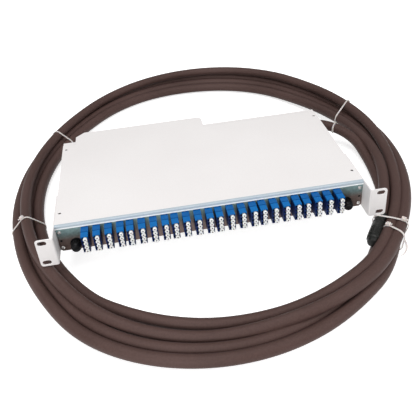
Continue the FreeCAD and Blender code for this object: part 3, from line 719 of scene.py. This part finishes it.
# Whether the way from a by b to c bends to the left
def turns_left(a, b, c):
    return (b[0] - a[0]) * (c[1] - a[1]) - (b[1] - a[1]) * (c[0] - a[0]) > 0


# Outline of a tight band round the strands that it holds, as corners of a convex loop
def band_outline(strands, reach, stretch):
    cloud = []
    for offset, level in strands:
        for i in range(40):
            turn = math.tau * i / 40
            cloud.append(((offset + reach * math.cos(turn)) * stretch, level + reach * math.sin(turn)))
    cloud.sort()
    loop = []
    for ordered in (cloud, cloud[::-1]):
        half = []
        for spot in ordered:
            while len(half) > 1 and not turns_left(half[-2], half[-1], spot):
                half.pop()
            half.append(spot)
        loop += half[:-1]
    return loop


# Cable ties: run, lean, strands held, direction of the head in the section or none
TIES = (
    (164.6, 0.0, (0, 1, 2, 3), 62),
    (198.3, 0.0, (0, 1, 2, 3), None),
    (341.5, 0.7, (0, 1, 2, 3), None),
    (25.7, -0.05, (0, 1, 2, 3, 4), 80),
    (27.8, -0.4, (1, 2, 3), 104),
)
BAND_WIDTH = 2.8
BAND_SHEET = 1.1


def build_band(name, run, lean, held):
    outward, along = coil_directions(run)
    strands = []
    for turn in held:
        across_run = lie(run + 360 * turn)[0] * lean / oval_arc(-run)[2]
        strands.append(lie(run + 360 * turn - math.degrees(across_run)))
    outline = band_outline(strands, CABLE / 2 + 0.2, math.hypot(1, lean))
    curve = bpy.data.curves.new(name, "CURVE")
    curve.dimensions = "2D"
    curve.fill_mode = "NONE"
    curve.extrude = BAND_WIDTH / 2 * MM
    spline = curve.splines.new("POLY")
    spline.points.add(len(outline) - 1)
    for place, (offset, level) in zip(spline.points, outline):
        place.co = (offset * MM, level * MM, 0, 1)
    spline.use_cyclic_u = True
    piece = link(name, curve)
    take(piece)
    bpy.ops.object.convert(target="MESH")
    piece = named(name)
    up = Vector((0, 0, 1))
    across = (outward + along * lean).normalized()
    settle(piece, placed(coil_place(run, 0, 0), across, up, across.cross(up)))
    edit(piece, "VERT")
    bpy.ops.mesh.select_all(action="SELECT")
    bpy.ops.mesh.remove_doubles(threshold=1e-6)
    bpy.ops.mesh.normals_make_consistent(inside=False)
    leave()
    finish_with(piece, "SOLIDIFY", thickness=BAND_SHEET * MM, offset=1)
    finish_with(
        piece, "BEVEL", width=0.35 * MM, segments=2, limit_method="ANGLE", angle_limit=math.radians(50)
    )
    smooth(piece, 50)
    return piece, outline


# Tie head: a rounded box with its strap slot sunk in the top and a cut tail
def model_tie_head():
    piece = block("tie_head", (-2.9, -3.2, 0.2), (2.9, 3.2, 4.8))
    edit(piece)
    pick(piece, "faces", lambda face: face.normal.z > 0.9)
    bpy.ops.mesh.inset(thickness=1.4 * MM)
    push(0, 0, -1.6)
    pick(piece, "faces", lambda face: face.normal.y > 0.9 and middle(face).y > 3.1)
    bpy.ops.mesh.inset(thickness=1.5 * MM)
    push(0, 1.8, 0.2)
    push(0, 1.4, 0.5)
    leave()
    break_edges(piece, 0.6, 3)
    return piece


def tie_head_place(run, lean, outline, aim):
    outward, along = coil_directions(run)
    across = (outward + along * lean).normalized()
    up = Vector((0, 0, 1))
    wanted = (math.cos(math.radians(aim)), math.sin(math.radians(aim)))
    centre = [sum(spot[i] for spot in outline) / len(outline) for i in (0, 1)]

    def reach(k):
        return sum((outline[k][i] - centre[i]) * wanted[i] for i in (0, 1))

    k = max(range(len(outline)), key=reach)
    before, after = outline[k - 1], outline[(k + 1) % len(outline)]
    lead_on = (across * (before[0] - after[0]) + up * (before[1] - after[1])).normalized()
    out = lead_on.cross(across.cross(up))
    if out.dot(across * wanted[0] + up * wanted[1]) < 0:
        out.negate()
    spot = coil_place(run, 0, 0) + across * outline[k][0] + up * outline[k][1]
    return placed(spot, lead_on.cross(out), lead_on, out)


# Loose strap ends: one hangs outside the coil, one goes from the rear tie over the lead
LOOSE_END = tuple(
    coil_place(*spot)
    for spot in ((28.1, 27.5, 6), (28.4, 31.5, 2.5), (29.1, 33.5, -1), (29.8, 32.9, -4), (30.5, 29.2, -6))
)
LEAD_STRAP = tuple(
    Vector(spot)
    for spot in (
        (277.5, 321.0, -37.0), (266.0, 279.2, -16.8), (261.0, 273.5, -14.1), (256.0, 267.8, -16.8),
        (254.1, 265.6, -24.4), (255.6, 267.4, -31.0),
    )
)


# One edge of a strip drawn along its way
def build_strap(way):
    put_down()
    bpy.ops.mesh.primitive_plane_add(size=BAND_WIDTH * MM, location=(0, 0, 0))
    piece = named("tie_tail")
    edit(piece, "EDGE")
    pick(piece, "edges", lambda edge: middle(edge).y < -1)
    bpy.ops.transform.translate(value=mm(0, BAND_WIDTH - 0.2, 0))
    here = Vector((0, BAND_WIDTH / 2, 0))
    for spot in way[1:]:
        pick(piece, "edges", lambda edge: (middle(edge) - here).length < 1e-3)
        step = spot - way[0] + Vector((0, BAND_WIDTH / 2, 0)) - here
        push(*step)
        here = here + step
    leave()
    settle(piece, Matrix.Translation((way[0] - Vector((0, BAND_WIDTH / 2, 0))) * MM))
    finish_with(piece, "SUBSURF", levels=2, render_levels=2)
    finish_with(piece, "SOLIDIFY", thickness=1.0 * MM, offset=0)
    smooth(piece, 50)
    return piece


def build_ties():
    pieces = []
    head = model_tie_head()
    for number, (run, lean, held, aim) in enumerate(TIES, 1):
        band, outline = build_band(f"tie_band_{number}", run, lean, held)
        pieces.append(band)
        if aim is not None:
            twin = copy_of(head, f"tie_head_{number}", 0, 0, 0)
            settle(twin, tie_head_place(run, lean, outline, aim))
            pieces.append(twin)
    pieces += [build_strap(LOOSE_END), build_strap(LEAD_STRAP)]
    discard(head)
    return dress(joined("cable_tie_set", pieces), "chassis", "tie_white", "tie_white", "cable_ties")


# End fitting: ribbed sleeve on the cable, gripped barrel and a tapered tip
def build_fitting():
    middle_point = coil_place(FITTING_RUN, *FITTING_LIE)
    place = facing(middle_point, coil_directions(FITTING_RUN)[1])
    steps = [(14.6, 7.6), (15.0, 8.4)]
    for k in range(3):
        base = 16.0 + k * 3.6
        steps += [(base, 8.7), (base + 2.0, 8.7), (base + 2.4, 8.0), (base + 3.2, 8.0)]
    steps += [(27.0, 8.8), (32.2, 8.8), (33.0, 8.55)]
    sleeve = turned("end_fitting_sleeve", steps, 32)
    smooth(sleeve, 50)
    dress(settle(sleeve, place), "chassis", "black_plastic", "fitting_black", "end_fitting_body")
    steps = (
        (-33.0, 4.4), (-32.4, 6.0), (-29.5, 7.2), (-25.6, 7.3), (-25.0, 8.2), (-24.2, 9.1), (-21.2, 9.4),
        (-20.4, 8.6), (-19.4, 8.6), (-18.6, 9.4), (-4.6, 9.4), (-3.8, 8.5), (-2.4, 8.5), (-1.6, 9.2),
        (9.8, 9.3), (10.6, 8.7), (11.6, 8.7), (12.2, 9.4), (14.4, 9.4), (15.0, 8.8),
    )
    barrel = turned("end_fitting_barrel", steps, 32)
    grip(barrel, -18.6, -4.6, 32, 2, 0.3, 0.6)
    smooth(barrel, 40)
    dress(settle(barrel, place), "chassis", "black_plastic", "fitting_black", "end_fitting_nut")
    return sleeve, barrel


# Gland nut: chamfered hexagon with a domed, bored collar
def build_gland_nut():
    low, high = corners_of("gland_nut")
    corner = (high.z - low.z) / 2
    place = facing((low.x, *centre_of("gland_nut")[1:]), (1, 0, 0))
    flats = ((0.0, corner - 1.2), (0.9, corner), (9.2, corner), (10.0, corner - 1.2))
    hexagon = turned("gland_hexagon", flats, 6)
    break_edges(hexagon, 0.5)
    dome = turned(
        "gland_dome",
        (
            (9.6, 11.8), (10.2, 12.9), (13.2, 12.7), (15.2, 11.6), (16.4, 10.2), (17.0, 9.4),
            (17.0, 8.7), (13.0, 8.6),
        ),
        36,
    )
    smooth(dome, 45)
    piece = settle(joined("gland_cap", [hexagon, dome]), place)
    return dress(piece, "chassis", "black_plastic", "black_plastic", "gland_nut")


# Adapter: one block with four keyed ports, a seam round it and a raised rear half
PORT_SIDES = (-1.95, 3.75)
KEY_SIDE = -4.2
PORT_REACH = 2.85
KEY_REACH = 1.6
SEAM = (12.5, 13.1)
REAR_HALF = 22.0


def model_adapter():
    low, high = corners_of("adapter_01")
    half = (high.x - low.x) / 2
    piece = block("adapter_shell", (-half, low.y, low.z), (half, high.y, high.z))
    edit(piece)
    for x in (KEY_SIDE, *PORT_SIDES):
        cut((x, 0, 0), (1, 0, 0))
    for level in PORT_LEVELS:
        for reach in (-PORT_REACH, -KEY_REACH, KEY_REACH, PORT_REACH):
            cut((0, 0, level + reach), (0, 0, 1))
    for y in (*SEAM, REAR_HALF):
        cut((0, y, 0), (0, 1, 0))

    def in_port(face, depth):
        spot = middle(face)
        return (
            abs(spot.y - low.y - depth) < 0.01 and PORT_SIDES[0] < spot.x < PORT_SIDES[1]
            and any(abs(spot.z - level) < PORT_REACH for level in PORT_LEVELS)
        )

    def in_key(face):
        spot = middle(face)
        return (
            abs(spot.y - low.y) < 0.01 and KEY_SIDE < spot.x < PORT_SIDES[0]
            and any(abs(spot.z - level) < KEY_REACH for level in PORT_LEVELS)
        )

    pick(piece, "faces", lambda face: in_port(face, 0) or in_key(face))
    push(0, 6.0, 0)
    pick(piece, "faces", lambda face: in_port(face, 6.0))
    push(0, 4.0, 0)
    pick(piece, "faces", lambda face: SEAM[0] < middle(face).y < SEAM[1] and abs(face.normal.y) < 0.1)
    bpy.ops.mesh.inset(thickness=0.02 * MM, depth=-0.5 * MM)
    pick(piece, "faces", lambda face: SEAM[1] < middle(face).y < REAR_HALF and abs(face.normal.y) < 0.1)
    bpy.ops.mesh.inset(thickness=0.02 * MM, depth=0.3 * MM)
    bpy.ops.mesh.select_all(action="SELECT")
    bpy.ops.mesh.dissolve_limited(angle_limit=math.radians(1))
    leave()
    break_edges(piece, 0.22)
    return piece


def build_adapters():
    shell = model_adapter()
    for number in ADAPTERS:
        node = f"adapter_{number}"
        twin = copy_of(shell, f"adapter_shell_{number}", centre_of(node)[0], 0, 0)
        dress(twin, "drawer", "adapter_blue", "adapter_blue", node)
    discard(shell)


# Dust cap: a hollow plug with a rolled rim, one in every port
def build_caps():
    bore = 0.9
    steps = (
        (0.0, 2.1), (0.3, 2.3), (7.2, 2.5), (7.7, 2.85), (8.9, 2.95), (9.4, 2.65), (9.5, 2.0),
        (9.4, 1.05), (9.2, bore), (4.0, 0.8),
    )
    cap = turned("dust_cap", steps, 14)
    smooth(cap, 40)
    # Marks the bore's corners for the painted shade
    bore_shade_mask = cap.data.attributes.new(BORE_SHADE_MARK, "FLOAT", "POINT")
    for spot, corner in zip(bore_shade_mask.data, cap.data.vertices):
        spot.value = float(corner.co.xy.length < (bore + 0.05) * MM)
    settle(cap, facing((0, CAP_SEAT, 0), (0, -1, 0)))
    twins = []
    for number in ADAPTERS:
        x = centre_of(f"adapter_{number}")[0] + PORT_SHIFT
        twins += [copy_of(cap, "dust_cap_copy", x, 0, level) for level in PORT_LEVELS]
    discard(cap)
    dress(joined("dust_cap_set", twins), "drawer", "cap_white", "cap_white", "dust_caps")


# Latch knob: gripped pull button with a stepped nose and a dished face, on its stem
def build_knobs():
    reach = corners_of("latch_plunger_left")[1].y - KNOB_SEAT
    steps = (
        (0.0, 4.6), (0.4, 6.4), (1.2, 7.1), (8.6, 7.25), (9.8, 7.0), (10.6, 6.3), (11.6, 6.05),
        (12.4, 5.6), (12.6, 5.0), (12.5, 4.2), (11.9, 3.4), (11.7, 0.8),
    )
    button = turned("knob_button", steps, 24)
    grip(button, 1.2, 8.6, 24, 2, 0.25, 0.7)
    smooth(button, 40)
    settle(button, facing((0, KNOB_SEAT, 0), (0, -1, 0)))
    stem = turned("knob_stem", ((0.0, 2.6), (0.3, 2.9), (reach - 0.5, 2.9), (reach, 2.4)), 20)
    smooth(stem, 40)
    settle(stem, facing((0, KNOB_SEAT, 0), (0, 1, 0)))
    knob = joined("latch_knob", [button, stem])
    for side in SIDES:
        node = f"latch_plunger_{side}"
        x, _, z = centre_of(node)
        twin = copy_of(knob, f"latch_knob_{side}", x, 0, z)
        dress(twin, f"latch_{side}", "black_plastic", "black_plastic", node)
    discard(knob)


# Screw head with a cross cut in its face, its axis along Z and its face at zero
def model_screw_head(name, radius, height):
    steps = (
        (-height, radius * 0.92), (-height * 0.85, radius), (-height * 0.35, radius * 0.96),
        (-height * 0.1, radius * 0.82), (0.0, radius * 0.66),
    )
    piece = turned(name, steps, 24)
    edit(piece)
    slot = radius * 0.11
    for at in (-slot, slot):
        cut((at, 0, 0), (1, 0, 0))
        cut((0, at, 0), (0, 1, 0))

    def on_cross(face):
        spot = middle(face)
        return face.normal.z > 0.9 and spot.z > -0.01 and min(abs(spot.x), abs(spot.y)) < slot

    pick(piece, "faces", on_cross)
    push(0, 0, -height * 0.5)
    leave()
    smooth(piece, 35)
    return piece


# Rivets and screws: one of each kind is modelled, then copied to its places
def build_fasteners():
    bodies = bodies_of("front_rivets")
    half = bodies[0][1]
    tall, reach = half.y * 2, half.z
    dome = (
        (0.0, reach * 0.9), (tall * 0.15, reach), (tall * 0.5, reach * 0.93), (tall * 0.8, reach * 0.7),
        (tall, reach * 0.3),
    )
    rivet = turned("front_rivet", dome, 20)
    smooth(rivet, 60)
    settle(rivet, facing((0, half.y, 0), (0, -1, 0)))
    rivets = [copy_of(rivet, "front_rivet_copy", *centre) for centre, _ in bodies]
    discard(rivet)
    dress(joined("rivet_set", rivets), "drawer", "steel", "steel", "front_rivets")
    for node, name, finish in (
        ("cover_screws", "cover_screw_set", "dark_screw"), ("ear_screws", "ear_screw_set", "steel")
    ):
        bodies = bodies_of(node)
        half = bodies[0][1]
        upright = node == "cover_screws"
        radius, height = (half.x, half.z * 2) if upright else (half.z, half.x * 2)
        head = model_screw_head("screw_head", radius, height)
        heads = []
        for centre, _ in bodies:
            aim = Vector((0, 0, 1)) if upright else Vector((math.copysign(1, centre.x), 0, 0))
            twin = copy_of(head, "screw_head_copy", 0, 0, 0)
            heads.append(settle(twin, facing(centre + aim * height / 2, aim)))
        discard(head)
        dress(joined(name, heads), "chassis", "steel", finish, node)


# Front rail: a strip with a rolled top hem and a bead along its foot
def build_rail():
    low, high = corners_of("front_rail")
    piece = block("rail_lip", (low.x, RAIL_FRONT, low.z), (high.x, RAIL_REAR, RAIL_TOP))
    edit(piece, "EDGE")

    def on_hem(edge):
        spot = middle(edge)
        return abs(spot.z - RAIL_TOP) < 0.01 and abs(spot.y - RAIL_FRONT) < 0.01

    pick(piece, "edges", on_hem)
    bpy.ops.mesh.bevel(offset=1.2 * MM, segments=5, affect="EDGES")
    bpy.ops.mesh.select_mode(type="FACE")
    cut((0, 0, BEAD_TOP), (0, 0, 1))
    pick(piece, "faces", lambda face: face.normal.y < -0.9 and middle(face).z < BEAD_TOP)
    push(0, -0.35, 0)
    leave()
    break_edges(piece, 0.25)
    dress(piece, "chassis", "rail_grey", "rail_lip", "front_rail")


# Black plugs in the two eyelets at the ends of the plate, put there as painted shade for the dark inside
# of the holes
def build_eyelets():
    plug = turned("eyelet_plug", ((0.0, 1.65), (1.2, 1.65), (1.35, 1.3), (1.2, 0.9), (0.7, 0.5)), 16)
    smooth(plug, 40)
    settle(plug, facing((0, EYELET_SEAT, 0), (0, -1, 0)))
    shade_plugs = [copy_of(plug, "eyelet_plug_copy", x, 0, z) for x, z in EYELET_PLACES]
    discard(plug)
    dress(joined("eyelet_shade_plugs", shade_plugs), "drawer", "black_plastic", "black_plastic")


# Folded and flat sheets keep the part's own shape, with their edges broken
def build_sheet_metal():
    for node, name, width in (
        ("top_cover", "cover_sheet", 0.35), ("housing", "housing_sheet", 0.35),
        ("ear_left", "ear_sheet_left", 0.5), ("ear_right", "ear_sheet_right", 0.5),
    ):
        dress(edged_copy(node, name, width), "chassis", "white_coat", "white_coat", node)
    dress(edged_copy("front_plate", "plate_sheet", 0.3), "drawer", "zinc", "zinc", "front_plate")


# Inside the drawer: spools turned smooth, loom, fan-out and plugs with their edges broken
def build_drawer_fittings():
    low, high = corners_of("fibre_spool_left")
    tall = high.z - low.z
    outer = (high.x - low.x) / 2
    steps = (
        (0.0, outer - 3.0), (0.0, outer - 0.3), (0.3, outer), (tall - 1.2, outer),
        (tall - 0.4, outer - 0.5), (tall, outer - 1.4), (tall - 0.3, outer - 2.7),
        (tall - 1.0, outer - 3.0), (0.0, outer - 3.0),
    )
    drum = turned("spool_drum", steps, 48, hollow=True)
    smooth(drum, 40)
    for side in SIDES:
        node = f"fibre_spool_{side}"
        x, y, _ = centre_of(node)
        twin = copy_of(drum, f"spool_drum_{side}", x, y, corners_of(node)[0].z)
        dress(twin, "drawer", "spool_grey", "spool_grey", node)
    discard(drum)
    for node, name, slot, width, segments in (
        ("fibre_loom", "fibre_bundle", "fibre_yellow", 2.4, 3),
        ("fan_out_block", "fan_out_case", "black_plastic", 1.2, 3),
        ("pigtail_connectors", "pigtail_plugs", "plug_blue", 0.5, 2),
    ):
        dress(edged_copy(node, name, width, segments), "drawer", slot, slot, node)


# The tray is zinc like the front plate, without the plate's painted reflection of the dark cable
OWN_FINISH = {"drawer_tray": "tray_zinc"}


# Nodes that stay as the part has them take the finish of their slot
def dress_nodes():
    for part in frame["record"]["subparts"]:
        node = NODES[part["node"]]
        node.data.materials.clear()
        node.data.materials.append(FINISH[OWN_FINISH.get(part["node"], part["material_slot"])])


# White stage: the floor shows white to the eye and still takes a faint shadow
def build_stage():
    put_down()
    bpy.ops.mesh.primitive_plane_add(size=FLOOR_SIZE, location=(0, 0.2, CAD_BOX[0][2] - FLOOR_GAP))
    floor = named("floor")
    material = bpy.data.materials.new("floor")
    material.use_nodes = True
    tree = material.node_tree
    wire = tree.links.new
    tree.nodes.remove(tree.nodes["Principled BSDF"])
    paths = tree.nodes.new("ShaderNodeLightPath")
    seen = paths.outputs["Is Camera Ray"]
    for ray in ("Is Glossy Ray", "Is Transmission Ray"):
        either = tree.nodes.new("ShaderNodeMath")
        either.operation = "MAXIMUM"
        wire(seen, either.inputs[0])
        wire(paths.outputs[ray], either.inputs[1])
        seen = either.outputs[0]
    both = tree.nodes.new("ShaderNodeAddShader")
    bright = tree.nodes.new("ShaderNodeBsdfDiffuse")
    bright.inputs["Color"].default_value = FLOOR_SEEN
    wire(bright.outputs[0], both.inputs[0])
    glow = tree.nodes.new("ShaderNodeEmission")
    glow.inputs["Strength"].default_value = FLOOR_GLOW
    wire(glow.outputs[0], both.inputs[1])
    plain = tree.nodes.new("ShaderNodeBsdfDiffuse")
    plain.inputs["Color"].default_value = FLOOR_BOUNCE
    mix = tree.nodes.new("ShaderNodeMixShader")
    wire(seen, mix.inputs["Fac"])
    wire(plain.outputs[0], mix.inputs[1])
    wire(both.outputs[0], mix.inputs[2])
    wire(mix.outputs[0], tree.nodes["Material Output"].inputs["Surface"])
    floor.data.materials.append(material)


# Even white sky, white to the eye behind the floor, and three soft lamps
def build_light():
    world = bpy.data.worlds.new("studio")
    bpy.context.scene.world = world
    world.use_nodes = True
    tree = world.node_tree
    wire = tree.links.new
    sky = tree.nodes["Background"]
    sky.inputs["Color"].default_value = WHITE
    sky.inputs["Strength"].default_value = SKY_LIGHT
    eye = tree.nodes.new("ShaderNodeBackground")
    eye.inputs["Color"].default_value = WHITE
    paths = tree.nodes.new("ShaderNodeLightPath")
    mix = tree.nodes.new("ShaderNodeMixShader")
    wire(paths.outputs["Is Camera Ray"], mix.inputs["Fac"])
    wire(sky.outputs[0], mix.inputs[1])
    wire(eye.outputs[0], mix.inputs[2])
    wire(mix.outputs[0], tree.nodes["World Output"].inputs["Surface"])
    for name, place, aim, size, power in LAMPS:
        lamp = bpy.data.lights.new(name, "AREA")
        lamp.size = size
        lamp.energy = power
        piece = link(name, lamp)
        piece.location = place
        piece.rotation_euler = (Vector(aim) - Vector(place)).to_track_quat("-Z", "Y").to_euler()


FINISH = make_finishes()
build_camera()
cable = build_cable()
dress_nodes()
ties = build_ties()
sleeve, barrel = build_fitting()
build_gland_nut()
build_adapters()
build_caps()
build_knobs()
build_fasteners()
build_rail()
build_eyelets()
build_sheet_metal()
build_drawer_fittings()
build_stage()
build_light()
bpy.context.scene.view_settings.view_transform = "Standard"
bpy.context.view_layer.update()
